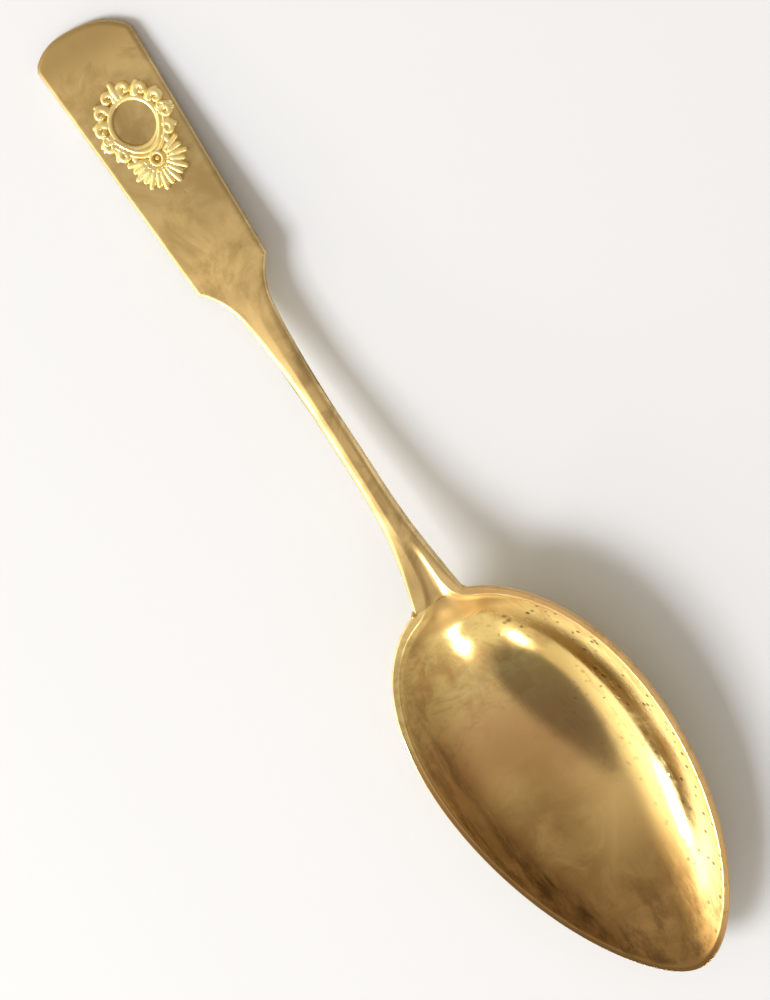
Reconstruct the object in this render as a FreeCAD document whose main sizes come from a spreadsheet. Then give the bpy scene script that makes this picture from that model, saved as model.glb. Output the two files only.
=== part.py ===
import FreeCAD, Part
import math
import os

import Sketcher

# A souvenir spoon: a flat, flared handle soldered to a pointed-oval bowl, with a
# two-piece badge soldered on the terminal. Lengths are in millimetres. Everything is
# laid out along X from the terminal's end, then set down centred on the origin:
# +X towards the bowl's tip, +Z up, the table at Z = 0.

DIMENSIONS = [
    ("overall_length", 140.0, "terminal end to bowl tip"),
    ("end_sagitta", 2.2, "how far the terminal's rounded end bows out"),
    ("end_width", 12.5, "across the terminal at its end corners"),
    ("end_top", 1.35, "height of the terminal's top face at the end"),
    ("shoulder_place", 33.3, "end to the square shoulders"),
    ("shoulder_width", 9.9, "across the shoulders"),
    ("shoulder_top", 3.9, "height of the top face at the shoulders"),
    ("plate_thickness", 1.35, "of the terminal"),
    ("throat_place", 39.0, "where the shoulder's hollow curve runs out"),
    ("throat_width", 4.4, "across the stem there"),
    ("waist_place", 53.0, "where the stem becomes narrowest"),
    ("waist_width", 2.9, "across the narrowest stretch"),
    ("flare_place", 63.0, "where the stem starts to flare to the neck"),
    ("bend_place", 57.0, "where the stem's rise steepens"),
    ("bend_top", 6.3, "height of the stem's top there"),
    ("bend_thickness", 2.4, "of the stem there"),
    ("seam_place", 78.7, "where handle and bowl butt together"),
    ("seam_width", 6.8, "across the neck at the seam"),
    ("neck_thickness", 2.1, "of the handle at the seam"),
    ("stem_round", 0.45, "rounding of the stem's top edges"),
    ("neck_top", 10.1, "height of the top face at the seam"),
    ("blank_height", 16.0, "of the stock that the outlines are cut from"),
    ("bowl_start", 78.1, "where the bowl's oval would close at the heel"),
    ("heel_rim", 10.2, "height of the rim at the heel"),
    ("tip_rim", 7.0, "height of the rim at the tip"),
    ("rim_sag", 0.3, "dip of the rim halfway along the bowl"),
    ("rim_edge", 0.45, "height of the rim's upright outer edge"),
    ("bowl_drop", 7.85, "from that edge down to the outside of the bottom"),
    ("depth_lean", -0.1, "shift of the deepest point towards the heel, as a share"),
    ("wall_fullness", 1.5, "1 is a parabola, more is a fuller, steeper wall"),
    ("sheet_thickness", 0.95, "of the bowl"),
    ("drop_start", 77.6, "handle's tongue under the heel, start"),
    ("drop_reach", 90.5, "and end"),
    ("drop_width", 6.4, "across the tongue"),
    ("drop_thickness", 0.9, "of the tongue"),
    ("solder_film", 0.2, "solder between the joined faces"),
    ("bead_width", 0.5, "how far the solder shows round the tongue"),
    ("spur_radius", 0.5, "solder spur at each neck corner"),
    ("badge_place", 12.7, "end to the centre of the cartouche"),
    ("badge_side", 0.4, "how far off the middle the badge was soldered"),
    ("field_radius", 2.55, "open field inside the cartouche"),
    ("band_radius", 3.2, "outside of its plain band"),
    ("lobe_ring", 3.85, "radius on which the scroll lobes sit"),
    ("lobe_radius", 0.95, "of a scroll lobe"),
    ("lobe_eye", 0.36, "hole inside a scroll lobe"),
    ("lobe_count", 9, "scroll lobes round the cartouche"),
    ("lobe_spread", 240, "angle that the lobes span"),
    ("band_rise", 0.35, "thickness of the band"),
    ("lobe_rise", 0.5, "thickness of the lobes"),
    ("ribbon_inner", 2.9, "ribbon below the cartouche, inner radius"),
    ("ribbon_outer", 3.75, "and outer radius"),
    ("ribbon_spread", 50, "half the ribbon's angle"),
    ("ribbon_rise", 0.6, "thickness of the ribbon"),
    ("spray_offset", 4.85, "cartouche centre to the centre of the leaf fan"),
    ("leaf_start", 0.6, "inner end of a leaf"),
    ("leaf_reach", 3.4, "outer end of a leaf"),
    ("leaf_width", 0.56, "across a leaf"),
    ("leaf_count", 15, "leaves in the fan"),
    ("fan_spread", 200, "angle of the whole fan"),
    ("leaf_rise", 0.4, "thickness of the leaves"),
    ("rosette_radius", 1.0, "disc at the root of the fan"),
    ("rosette_rise", 0.6, "thickness of that disc"),
    ("badge_film", 0.06, "solder under the badge"),
]

# The oval's half width is half its length times sqrt((1 - v^2) * fullness(v)), where v
# runs from -1 at the heel to 1 at the tip.
OVAL_FULLNESS = (0.2536, -0.0825, 0.005, -0.0125, -0.0265)

H_AXIS = -1
V_AXIS = -2


def new_sheet(doc):
    sheet = doc.addObject("Spreadsheet::Sheet", "dims")
    for row, (alias, value, meaning) in enumerate(DIMENSIONS, start=1):
        sheet.set("A%d" % row, alias)
        sheet.set("B%d" % row, str(value))
        sheet.set("C%d" % row, meaning)
        sheet.setAlias("B%d" % row, alias)
    doc.recompute()
    return sheet


doc = FreeCAD.newDocument("souvenir_spoon")
dims = new_sheet(doc)


class Amount:
    """A length together with the sheet expression that drives it."""

    def __init__(self, value, text):
        self.value = value
        self.text = text

    def combine(self, sign, other):
        other = other if isinstance(other, Amount) else Amount(float(other), str(other))
        text = "(%s %s %s)" % (self.text, sign, other.text)
        results = {
            "+": self.value + other.value,
            "-": self.value - other.value,
            "*": self.value * other.value,
        }
        return Amount(results[sign], text)

    def __add__(self, other):
        return self.combine("+", other)

    def __sub__(self, other):
        return self.combine("-", other)

    def __mul__(self, other):
        return self.combine("*", other)


def dim(alias):
    return Amount(float(dims.get(alias)), "dims." + alias)


ZERO = Amount(0.0, "0")


# ---------------------------------------------------------------- bodies and sketches

def new_body(name):
    return doc.addObject("PartDesign::Body", name)


def new_sketch(body, name, plane):
    sketch = body.newObject("Sketcher::SketchObject", name)
    for feature in body.Origin.OriginFeatures:
        if feature.Role == plane:
            sketch.AttachmentSupport = [(feature, "")]
    sketch.MapMode = "FlatFace"
    return sketch


def bind(sketch, constraint, amount):
    index = sketch.addConstraint(constraint)
    sketch.setExpression("Constraints[%d]" % index, amount.text)


def pin(sketch, point, across, along):
    """Hold a point of a sketch at two driven distances from the origin."""
    geometry, end = point
    if across.value == 0:
        sketch.addConstraint(Sketcher.Constraint("PointOnObject", geometry, end, V_AXIS))
    else:
        bind(sketch, Sketcher.Constraint("DistanceX", -1, 1, geometry, end, across.value), across)
    if along.value == 0:
        sketch.addConstraint(Sketcher.Constraint("PointOnObject", geometry, end, H_AXIS))
    else:
        bind(sketch, Sketcher.Constraint("DistanceY", -1, 1, geometry, end, along.value), along)


def join(sketch, first, second, smooth=False):
    kind = "Tangent" if smooth else "Coincident"
    sketch.addConstraint(Sketcher.Constraint(kind, first[0], first[1], second[0], second[1]))


def vector(point):
    return FreeCAD.Vector(point[0].value, point[1].value, 0)


def add_line(sketch, start, end):
    index = sketch.addGeometry(Part.LineSegment(vector(start), vector(end)))
    return (index, 1), (index, 2)


def add_arc(sketch, start, heading, end):
    """An arc that leaves start along heading and ends at end; also its last heading."""
    first, last = vector(start), vector(end)
    chord = last.sub(first)
    half_turn = math.atan2(chord.y, chord.x) - heading
    half_turn = math.atan2(math.sin(half_turn), math.cos(half_turn))
    radius = chord.Length / (2 * math.sin(half_turn))
    centre = first.add(FreeCAD.Vector(-math.sin(heading), math.cos(heading), 0) * radius)
    spoke = first.sub(centre)
    begin = math.atan2(spoke.y, spoke.x)
    finish = begin + 2 * half_turn
    circle = Part.Circle(centre, FreeCAD.Vector(0, 0, 1), abs(radius))
    arc = Part.ArcOfCircle(circle, min(begin, finish), max(begin, finish))
    index = sketch.addGeometry(arc)
    ends = ((index, 1), (index, 2)) if half_turn > 0 else ((index, 2), (index, 1))
    return ends[0], ends[1], heading + 2 * half_turn


def add_circle(sketch, centre, radius):
    index = sketch.addGeometry(Part.Circle(vector(centre), FreeCAD.Vector(0, 0, 1), radius.value))
    bind(sketch, Sketcher.Constraint("Radius", index, radius.value), radius)
    pin(sketch, (index, 3), centre[0], centre[1])


def pad(body, name, sketch, length, symmetric=False):
    feature = body.newObject("PartDesign::Pad", name)
    feature.Profile = sketch
    feature.setExpression("Length", length.text)
    if symmetric:
        feature.Midplane = True
    return feature


def set_down(feature):
    """Shift a finished sub-part so that the spoon's length is centred on the origin."""
    feature.setExpression(".Placement.Base.x", "-dims.overall_length / 2")


# ---------------------------------------------------------------- handle

def handle_outline():
    """The handle seen from above: half of it drawn, padded and mirrored."""
    body = new_body("handle_outline")
    sketch = new_sketch(body, "half_outline", "XY_Plane")
    end = (ZERO, ZERO)
    corner = (dim("end_sagitta"), dim("end_width") * 0.5)
    shoulder = (dim("shoulder_place"), dim("shoulder_width") * 0.5)
    throat = (dim("throat_place"), dim("throat_width") * 0.5)
    waist = (dim("waist_place"), dim("waist_width") * 0.5)
    flare = (dim("flare_place"), dim("waist_width") * 0.5)
    neck = (dim("seam_place"), dim("seam_width") * 0.5)
    neck_axis = (dim("seam_place"), ZERO)

    end_arc = add_arc(sketch, end, math.pi / 2, corner)
    side = add_line(sketch, corner, shoulder)
    taper = add_arc(sketch, waist, math.pi, throat)
    hollow = add_arc(sketch, throat, taper[2], shoulder)
    straight = add_line(sketch, waist, flare)
    flaring = add_arc(sketch, flare, 0.0, neck)
    seam = add_line(sketch, neck, neck_axis)
    axis = add_line(sketch, neck_axis, end)

    sketch.addConstraint(Sketcher.Constraint("PointOnObject", end_arc[0][0], 3, H_AXIS))
    join(sketch, axis[1], end_arc[0])
    join(sketch, end_arc[1], side[0])
    join(sketch, side[1], hollow[1])
    join(sketch, hollow[0], taper[1], smooth=True)
    join(sketch, taper[0], straight[0], smooth=True)
    join(sketch, straight[1], flaring[0], smooth=True)
    join(sketch, flaring[1], seam[0])
    join(sketch, seam[1], axis[0])
    for point, place in (
        (end_arc[0], end), (side[0], corner), (side[1], shoulder), (taper[1], throat),
        (straight[0], waist), (straight[1], flare), (seam[0], neck), (seam[1], neck_axis),
    ):
        pin(sketch, point, place[0], place[1])

    half = pad(body, "half_blank", sketch, dim("blank_height"))
    doc.recompute()
    mirrored = body.newObject("PartDesign::Mirrored", "both_halves")
    mirrored.Originals = [half]
    for feature in body.Origin.OriginFeatures:
        if feature.Role == "XZ_Plane":
            mirrored.MirrorPlane = (feature, [""])
    body.Tip = mirrored
    doc.recompute()
    return body


def handle_profile():
    """The handle seen from the side, padded wider than the terminal."""
    body = new_body("handle_profile")
    sketch = new_sketch(body, "side_profile", "XZ_Plane")
    rim_at_seam = dim("neck_top")
    top = (
        (ZERO, dim("end_top")),
        (dim("shoulder_place"), dim("shoulder_top")),
        (dim("bend_place"), dim("bend_top")),
        (dim("seam_place"), rim_at_seam),
    )
    under = (
        (ZERO, ZERO),
        (dim("shoulder_place"), dim("shoulder_top") - dim("plate_thickness")),
        (dim("bend_place"), dim("bend_top") - dim("bend_thickness")),
        (dim("seam_place"), rim_at_seam - dim("neck_thickness")),
    )
    edges = []
    for chain in (top, under):
        plate = add_line(sketch, chain[0], chain[1])
        rise = vector(chain[1]).sub(vector(chain[0]))
        lower = add_arc(sketch, chain[1], math.atan2(rise.y, rise.x), chain[2])
        upper = add_arc(sketch, chain[2], lower[2], chain[3])
        join(sketch, plate[1], lower[0], smooth=True)
        join(sketch, lower[1], upper[0], smooth=True)
        edges.append((plate, lower, upper))
        for point, place in zip((plate[0], plate[1], upper[0], upper[1]), chain):
            pin(sketch, point, place[0], place[1])
    end_face = add_line(sketch, under[0], top[0])
    seam_face = add_line(sketch, top[3], under[3])
    join(sketch, end_face[0], edges[1][0][0])
    join(sketch, end_face[1], edges[0][0][0])
    join(sketch, seam_face[0], edges[0][2][1])
    join(sketch, seam_face[1], edges[1][2][1])
    pad(body, "side_blank", sketch, dim("end_width") * 2, symmetric=True)
    doc.recompute()
    return body


def round_stem(stock):
    """Ease the long top edges of the stem, between the shoulders and the neck."""
    rounded = doc.addObject("Part::Fillet", "handle_stock_rounded")
    rounded.Base = stock
    start = dim("throat_place").value
    radius = dim("stem_round").value
    chosen = []
    for number, edge in enumerate(stock.Shape.Edges, start=1):
        box = edge.BoundBox
        middle = edge.CenterOfMass
        off_axis = abs(middle.y) > dim("waist_width").value / 4
        if box.XMin > start - 0.1 and box.XLength > 1 and off_axis and middle.z > top_line(middle.x):
            chosen.append((number, radius, radius))
    rounded.Edges = chosen
    doc.recompute()
    return rounded


def top_line(place):
    """A height inside the stem at a place along it, between its top and bottom edges."""
    start, end = dim("shoulder_place").value, dim("seam_place").value
    share = (place - start) / (end - start)
    low = dim("shoulder_top").value - dim("plate_thickness").value
    high = dim("neck_top").value - dim("neck_thickness").value
    return low + share * (high - low)


# ---------------------------------------------------------------- bowl surfaces

SURFACE_MARGIN = 1.5
GRID_STEP = 2.0
TOOL_HEIGHT = 40.0


def along_bowl(place):
    """-1 at the heel, 1 at the tip."""
    start, end = dim("bowl_start").value, dim("overall_length").value
    return (2 * place - start - end) / (end - start)


def half_length():
    return (dim("overall_length").value - dim("bowl_start").value) / 2


def fullness(v):
    return sum(factor * v ** power for power, factor in enumerate(OVAL_FULLNESS))


def half_width(place):
    v = along_bowl(place)
    return half_length() * math.sqrt(max(1 - v * v, 0) * fullness(v))


def rim_height(place):
    heel, tip, sag = (dim(name).value for name in ("heel_rim", "tip_rim", "rim_sag"))
    share = (along_bowl(place) + 1) / 2
    return heel + (tip - heel) * share - 4 * sag * share * (1 - share)


def outside_height(place, side):
    """Height of the bowl's outer surface; it runs on smoothly past the rim."""
    v = along_bowl(place)
    lean = 1 + dim("depth_lean").value * v
    depth_share = lean * ((1 - v * v) - (side / half_length()) ** 2 / fullness(v))
    full = dim("wall_fullness").value
    fall = depth_share * (full - (full - 1) * depth_share)
    return rim_height(place) - dim("rim_edge").value - dim("bowl_drop").value * fall


def inside_height(place, side):
    """The outer surface raised by the sheet's thickness, measured square to it."""
    step = 0.01
    slope_x = (outside_height(place + step, side) - outside_height(place - step, side)) / (2 * step)
    slope_y = (outside_height(place, side + step) - outside_height(place, side - step)) / (2 * step)
    square = math.sqrt(1 + slope_x ** 2 + slope_y ** 2)
    return outside_height(place, side) + dim("sheet_thickness").value * square


def spread(low, high, step):
    count = int(math.ceil((high - low) / step))
    return [low + (high - low) * index / count for index in range(count + 1)]


def surface_face(height):
    """A smooth face through the heights over the bowl's rectangle."""
    start, end = dim("bowl_start").value, dim("overall_length").value
    reach = max(half_width(place) for place in spread(start, end, GRID_STEP)) + SURFACE_MARGIN / 2
    places = spread(start - SURFACE_MARGIN, end + SURFACE_MARGIN, GRID_STEP)
    sides = spread(-reach, reach, GRID_STEP)
    rows = [[FreeCAD.Vector(x, y, height(x, y)) for y in sides] for x in places]
    surface = Part.BSplineSurface()
    surface.interpolate(rows)
    return surface.toShape()


def oval_prism(bottom, top):
    start, end = dim("bowl_start").value, dim("overall_length").value
    turns = spread(0, 2 * math.pi, math.pi / 24)[:-1]
    points = []
    for turn in turns:
        place = (start + end) / 2 - half_length() * math.cos(turn)
        side = math.copysign(half_width(place), math.sin(turn))
        points.append(FreeCAD.Vector(place, side, bottom))
    outline = Part.BSplineCurve()
    outline.interpolate(Points=points, PeriodicFlag=True)
    face = Part.Face(Part.Wire([outline.toShape()]))
    return face.extrude(FreeCAD.Vector(0, 0, top - bottom))


def ellipse_prism(margin):
    """Upright prism over the tongue's outline, or over a margin round it."""
    start = dim("drop_start").value
    reach = dim("drop_reach").value - start + margin
    side = dim("drop_width").value / 2 + margin
    ellipse = Part.Ellipse(FreeCAD.Vector(start, 0, 0), reach, side)
    face = Part.Face(Part.Wire([ellipse.toShape()]))
    return face.extrude(FreeCAD.Vector(0, 0, dim("blank_height").value))


def slab(face, lift, thickness):
    """The space of a given thickness below a face that has been lifted."""
    lifted = face.copy()
    lifted.translate(FreeCAD.Vector(0, 0, lift))
    return lifted.extrude(FreeCAD.Vector(0, 0, -thickness))


def stretch(low, high):
    """A box over a stretch of the spoon's length, wider and taller than the bowl."""
    side = dim("overall_length").value / 2
    box = Part.makeBox(high - low, side, TOOL_HEIGHT)
    box.translate(FreeCAD.Vector(low, -side / 2, 0))
    return box


def rim_cutter():
    start, end = dim("bowl_start").value, dim("overall_length").value
    low, high = start - SURFACE_MARGIN, end + SURFACE_MARGIN
    middle = (low + high) / 2
    pole = 2 * rim_height(middle) - (rim_height(low) + rim_height(high)) / 2
    curve = Part.BezierCurve()
    curve.setPoles([
        FreeCAD.Vector(low, -half_length(), rim_height(low)),
        FreeCAD.Vector(middle, -half_length(), pole),
        FreeCAD.Vector(high, -half_length(), rim_height(high)),
    ])
    face = curve.toShape().extrude(FreeCAD.Vector(0, 2 * half_length(), 0))
    return face.extrude(FreeCAD.Vector(0, 0, TOOL_HEIGHT))


def shape_feature(name, shape):
    feature = doc.addObject("Part::Feature", name)
    feature.Shape = shape
    return feature


# ---------------------------------------------------------------- bowl and its joint

def whole_bowl():
    """The pressed shell with its filed rim and the flat worn in its underside."""
    outside = surface_face(outside_height)
    inside = surface_face(inside_height)
    stock = oval_prism(0, dim("blank_height").value)
    pressed = stock.cut(outside.extrude(FreeCAD.Vector(0, 0, -TOOL_HEIGHT)))
    filed = pressed.cut(rim_cutter())
    hollowed = filed.cut(inside.extrude(FreeCAD.Vector(0, 0, TOOL_HEIGHT)))
    return hollowed, outside


def tongue(outside):
    """The drop: the handle's tongue, lapped under the heel and following its curve."""
    lift = -dim("solder_film").value
    lap = slab(outside, lift, dim("drop_thickness").value)
    start = dim("drop_start").value
    return lap.common(ellipse_prism(0)).common(stretch(start, dim("overall_length").value))


def neck_joint(bowl, outside, handle_shape):
    """Film between the butted faces and in the lap, and a spur at each neck corner."""
    seam = dim("seam_place").value
    film = dim("solder_film").value
    end = dim("overall_length").value
    butt = bowl.common(stretch(seam, seam + film))
    spread_film = slab(outside, 0, film).common(ellipse_prism(dim("bead_width").value))
    joint = butt.fuse(spread_film.common(stretch(seam + film / 2, end)))
    for side in (-1, 1):
        spur = Part.makeSphere(dim("spur_radius").value)
        corner = side * dim("seam_width").value / 2
        height = rim_height(seam) - dim("spur_radius").value
        spur.translate(FreeCAD.Vector(seam + film / 2, corner, height))
        joint = joint.fuse(spur)
    kept_bowl = bowl.common(stretch(seam + film, end + 1))
    return joint.cut(handle_shape).cut(kept_bowl), kept_bowl


# ---------------------------------------------------------------- badge

def terminal_slope():
    rise = dim("shoulder_top").value - dim("end_top").value
    return math.degrees(math.atan2(rise, dim("shoulder_place").value))


SLOPE_TEXT = "atan((dims.shoulder_top - dims.end_top) / dims.shoulder_place)"


def lay_on_terminal(body, along, lift):
    """Tilt a badge body onto the terminal's top face, a distance above it."""
    body.Placement = FreeCAD.Placement(
        FreeCAD.Vector(0, 0, 0), FreeCAD.Rotation(FreeCAD.Vector(0, -1, 0), terminal_slope())
    )
    body.setExpression(".Placement.Rotation.Angle", SLOPE_TEXT)
    reach = "(%s) * cos(%s)" % (along.text, SLOPE_TEXT)
    drop_back = "(%s) * sin(%s)" % (lift.text, SLOPE_TEXT)
    body.setExpression(
        ".Placement.Base.x",
        "dims.badge_place + %s - %s - dims.overall_length / 2" % (reach, drop_back),
    )
    climb = "(%s) * sin(%s)" % (along.text, SLOPE_TEXT)
    raise_up = "(%s) * cos(%s)" % (lift.text, SLOPE_TEXT)
    base = "dims.end_top + dims.badge_place * tan(%s)" % SLOPE_TEXT
    body.setExpression(".Placement.Base.z", "%s + %s + %s" % (base, climb, raise_up))
    body.setExpression(".Placement.Base.y", "dims.badge_side")


def fan_out(body, name, feature, count, angle, backwards=False):
    pattern = body.newObject("PartDesign::PolarPattern", name)
    pattern.Originals = [feature]
    for origin_feature in body.Origin.OriginFeatures:
        if origin_feature.Role == "Z_Axis":
            pattern.Axis = (origin_feature, [""])
    pattern.setExpression("Occurrences", count)
    pattern.setExpression("Angle", angle)
    pattern.Reversed = backwards
    body.Tip = pattern
    doc.recompute()
    return pattern


def badge_frame():
    """The cartouche: a band with scroll lobes round it and a ribbon across its foot."""
    body = new_body("badge_frame")
    band = new_sketch(body, "band_outline", "XY_Plane")
    add_circle(band, (ZERO, ZERO), dim("band_radius"))
    add_circle(band, (ZERO, ZERO), dim("field_radius"))
    pad(body, "band", band, dim("band_rise"))

    lobe = new_sketch(body, "lobe_outline", "XY_Plane")
    seat = (dim("lobe_ring") * -1, ZERO)
    add_circle(lobe, seat, dim("lobe_radius"))
    add_circle(lobe, seat, dim("lobe_eye"))
    lobe_pad = pad(body, "lobe", lobe, dim("lobe_rise"))
    doc.recompute()
    count = "(dims.lobe_count + 1) / 2"
    fan_out(body, "lobes_one_way", lobe_pad, count, "dims.lobe_spread / 2")
    fan_out(body, "lobes_other_way", lobe_pad, count, "dims.lobe_spread / 2", backwards=True)

    ribbon = new_sketch(body, "ribbon_outline", "XY_Plane")
    half_angle = math.radians(dim("ribbon_spread").value)
    arcs = []
    for alias in ("ribbon_inner", "ribbon_outer"):
        radius = dim(alias)
        circle = Part.Circle(FreeCAD.Vector(0, 0, 0), FreeCAD.Vector(0, 0, 1), radius.value)
        index = ribbon.addGeometry(Part.ArcOfCircle(circle, -half_angle, half_angle))
        ribbon.addConstraint(Sketcher.Constraint("Coincident", index, 3, -1, 1))
        bind(ribbon, Sketcher.Constraint("Radius", index, radius.value), radius)
        arcs.append(index)
    for end in (1, 2):
        start_point = ribbon.getPoint(arcs[0], end)
        end_point = ribbon.getPoint(arcs[1], end)
        index = ribbon.addGeometry(Part.LineSegment(start_point, end_point))
        join(ribbon, (index, 1), (arcs[0], end))
        join(ribbon, (index, 2), (arcs[1], end))
    pad(body, "ribbon", ribbon, dim("ribbon_rise"))
    doc.recompute()
    body.Label = "badge_frame"
    lay_on_terminal(body, ZERO, dim("badge_film"))
    return body


def badge_spray():
    """The fan of leaves below the cartouche, with a rosette disc at its root."""
    body = new_body("badge_spray")
    disc = new_sketch(body, "rosette_outline", "XY_Plane")
    add_circle(disc, (ZERO, ZERO), dim("rosette_radius"))
    pad(body, "rosette", disc, dim("rosette_rise"))

    leaf = new_sketch(body, "leaf_outline", "XY_Plane")
    middle = (dim("leaf_start") + dim("leaf_reach")) * 0.5
    half = dim("leaf_width") * 0.5
    corners = (
        (dim("leaf_start"), ZERO), (middle, half), (dim("leaf_reach"), ZERO), (middle, half * -1),
    )
    sides = [add_line(leaf, corners[index], corners[(index + 1) % 4]) for index in range(4)]
    for index in range(4):
        join(leaf, sides[index][1], sides[(index + 1) % 4][0])
        pin(leaf, sides[index][0], corners[index][0], corners[index][1])
    leaf_pad = pad(body, "leaf", leaf, dim("leaf_rise"))
    doc.recompute()
    count = "(dims.leaf_count + 1) / 2"
    fan_out(body, "leaves_one_way", leaf_pad, count, "dims.fan_spread / 2")
    fan_out(body, "leaves_other_way", leaf_pad, count, "dims.fan_spread / 2", backwards=True)
    lay_on_terminal(body, dim("spray_offset"), dim("badge_film"))
    return body


def badge_solder():
    """The film that holds both badge pieces down."""
    body = new_body("badge_solder")
    ring = new_sketch(body, "film_ring", "XY_Plane")
    add_circle(ring, (ZERO, ZERO), dim("band_radius"))
    add_circle(ring, (ZERO, ZERO), dim("field_radius"))
    pad(body, "ring_film", ring, dim("badge_film"))
    disc = new_sketch(body, "film_disc", "XY_Plane")
    add_circle(disc, (dim("spray_offset"), ZERO), dim("rosette_radius") * 2)
    pad(body, "disc_film", disc, dim("badge_film"))
    doc.recompute()
    lay_on_terminal(body, ZERO, ZERO)
    return body


# ---------------------------------------------------------------- assembly

def build():
    stock = doc.addObject("Part::Common", "handle_stock")
    stock.Base = handle_outline()
    stock.Tool = handle_profile()
    doc.recompute()
    rounded = round_stem(stock)

    shell, outside = whole_bowl()
    drop = shape_feature("drop", tongue(outside))
    handle = doc.addObject("Part::Fuse", "handle")
    handle.Base = rounded
    handle.Tool = drop
    doc.recompute()
    solder_shape, bowl_shape = neck_joint(shell, outside, handle.Shape)
    bowl = shape_feature("bowl", bowl_shape)
    neck_solder = shape_feature("neck_solder", solder_shape)
    for feature in (handle, bowl, neck_solder):
        set_down(feature)
    parts = [handle, bowl, neck_solder, badge_frame(), badge_spray(), badge_solder()]
    doc.recompute()
    return parts


def check(parts):
    for feature in doc.Objects:
        for state in feature.State:
            if state in ("Invalid", "Error"):
                raise RuntimeError("%s did not compute: %s" % (feature.Name, feature.State))
    for part in parts:
        if part.Shape.isNull() or not part.Shape.isValid() or not part.Shape.Solids:
            raise RuntimeError("%s has no valid solid" % part.Label)


def export(parts):
    os.makedirs("parts", exist_ok=True)
    for part in parts:
        part.Shape.exportStep("parts/%s.step" % part.Label)
        box = part.Shape.BoundBox
        print("%-14s solids %d  volume %8.2f mm3  x %.2f to %.2f  y %.2f to %.2f  z %.3f to %.2f" % (
            part.Label, len(part.Shape.Solids), part.Shape.Volume,
            box.XMin, box.XMax, box.YMin, box.YMax, box.ZMin, box.ZMax,
        ))


sub_parts = build()
check(sub_parts)
export(sub_parts)
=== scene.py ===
import math

import bpy
import numpy as np
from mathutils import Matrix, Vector


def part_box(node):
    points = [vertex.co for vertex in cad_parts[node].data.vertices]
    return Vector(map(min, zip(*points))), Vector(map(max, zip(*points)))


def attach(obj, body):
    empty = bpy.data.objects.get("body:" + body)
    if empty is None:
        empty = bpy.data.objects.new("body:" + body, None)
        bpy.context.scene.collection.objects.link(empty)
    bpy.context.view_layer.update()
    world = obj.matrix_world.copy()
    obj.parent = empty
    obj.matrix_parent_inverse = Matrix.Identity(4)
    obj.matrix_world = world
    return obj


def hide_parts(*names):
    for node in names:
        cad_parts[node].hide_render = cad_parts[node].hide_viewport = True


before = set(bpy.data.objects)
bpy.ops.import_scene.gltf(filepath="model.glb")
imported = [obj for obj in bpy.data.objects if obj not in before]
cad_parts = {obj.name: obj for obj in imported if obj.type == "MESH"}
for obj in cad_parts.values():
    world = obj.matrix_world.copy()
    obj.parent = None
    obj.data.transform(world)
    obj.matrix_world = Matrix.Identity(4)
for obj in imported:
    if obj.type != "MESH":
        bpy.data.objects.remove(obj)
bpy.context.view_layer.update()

# Shapes are worked out in millimetres along the spoon: x from the terminal's end to the
# bowl's tip, y across, z up from the table. to_frame() moves them into the frame.
MM = 0.001
END_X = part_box("handle")[0][0]
LENGTH = (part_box("bowl")[1][0] - END_X) / MM


def to_frame(points):
    points = np.asarray(points, dtype=float)
    return points * MM + np.array([END_X, 0.0, 0.0])


# ---------------------------------------------------------------- driving sizes

# terminal: a tapered plate whose end is a shallow curve, filed a little askew
END_SAGITTA = 2.37
END_POWER = 2.7
END_SKEW = 0.85
END_HALF = 6.25
END_TOP = 1.35
CORNER_ROUND = 0.3
SHOULDER_X = 33.3
SHOULDER_HALF = 4.95
SHOULDER_TOP = 3.9
PLATE = 1.35
PILLOW = 0.05

# stem and neck: hollow shoulders, a taper to the waist, and a flare to the seam
HOLLOW_X = 39.0
HOLLOW_HALF = 2.2
WAIST_X = 53.0
WAIST_HALF = 1.45
FLARE_X = 63.0
BEND_X = 57.0
BEND_TOP = 6.3
BEND_THICK = 2.4
RIDGE = 0.36
RIDGE_BLEND = 0.1
UNDER_ROUND = 0.3
SEAM_X = 78.7
SEAM_HALF = 3.4
SEAM_BELLY = 0.5
NECK_TOP = 10.1
NECK_THICK = 2.1
NECK_FROM = 76.0
NECK_TO = 81.5

# bowl: an egg-shaped oval in plan, whose fullness is a polynomial along it
BOWL_START = 78.1
BOWL_MIDDLE = (LENGTH + BOWL_START) / 2
HALF_BOWL = (LENGTH - BOWL_START) / 2
OVAL_FULLNESS = (0.2536, -0.0825, 0.005, -0.0125, -0.0265)
HEEL_RIM = 10.2
TIP_RIM = 7.0
RIM_SAG = 0.3
RIM_EDGE = 0.45
RIM_ROUND = 0.2
BOWL_DROP = 7.85
DEPTH_LEAN = -0.1
WALL_FULLNESS = 1.5
SHEET = 0.95
HOLLOW_BLEND = 0.5
LIP_BLEND = 0.16

# solder film between the handle and the heel, and the stretch past it with no rounded rim
FILM = 0.2
SEAM_LAND = 0.9

# drop: the tongue under the heel, which narrows and thins to a point
DROP_REACH = 90.5
DROP_THICK = 0.9
DROP_THIN = 0.22
DROP_CROWN = 0.45
DROP_POINT = 0.5
DROP_NARROWING = 0.3
DROP_ROUND = 0.18
DROP_TIP_RUN = 6.0
DROP_LEAST = 0.02

# heights along the handle's middle, at its end, shoulder, bend and seam
TOP_LINE = ((0.0, END_TOP), (SHOULDER_X, SHOULDER_TOP), (BEND_X, BEND_TOP), (SEAM_X, NECK_TOP))
UNDER_LINE = (
    (0.0, 0.0),
    (SHOULDER_X, SHOULDER_TOP - PLATE),
    (BEND_X, BEND_TOP - BEND_THICK),
    (SEAM_X, NECK_TOP - NECK_THICK),
)

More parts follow.
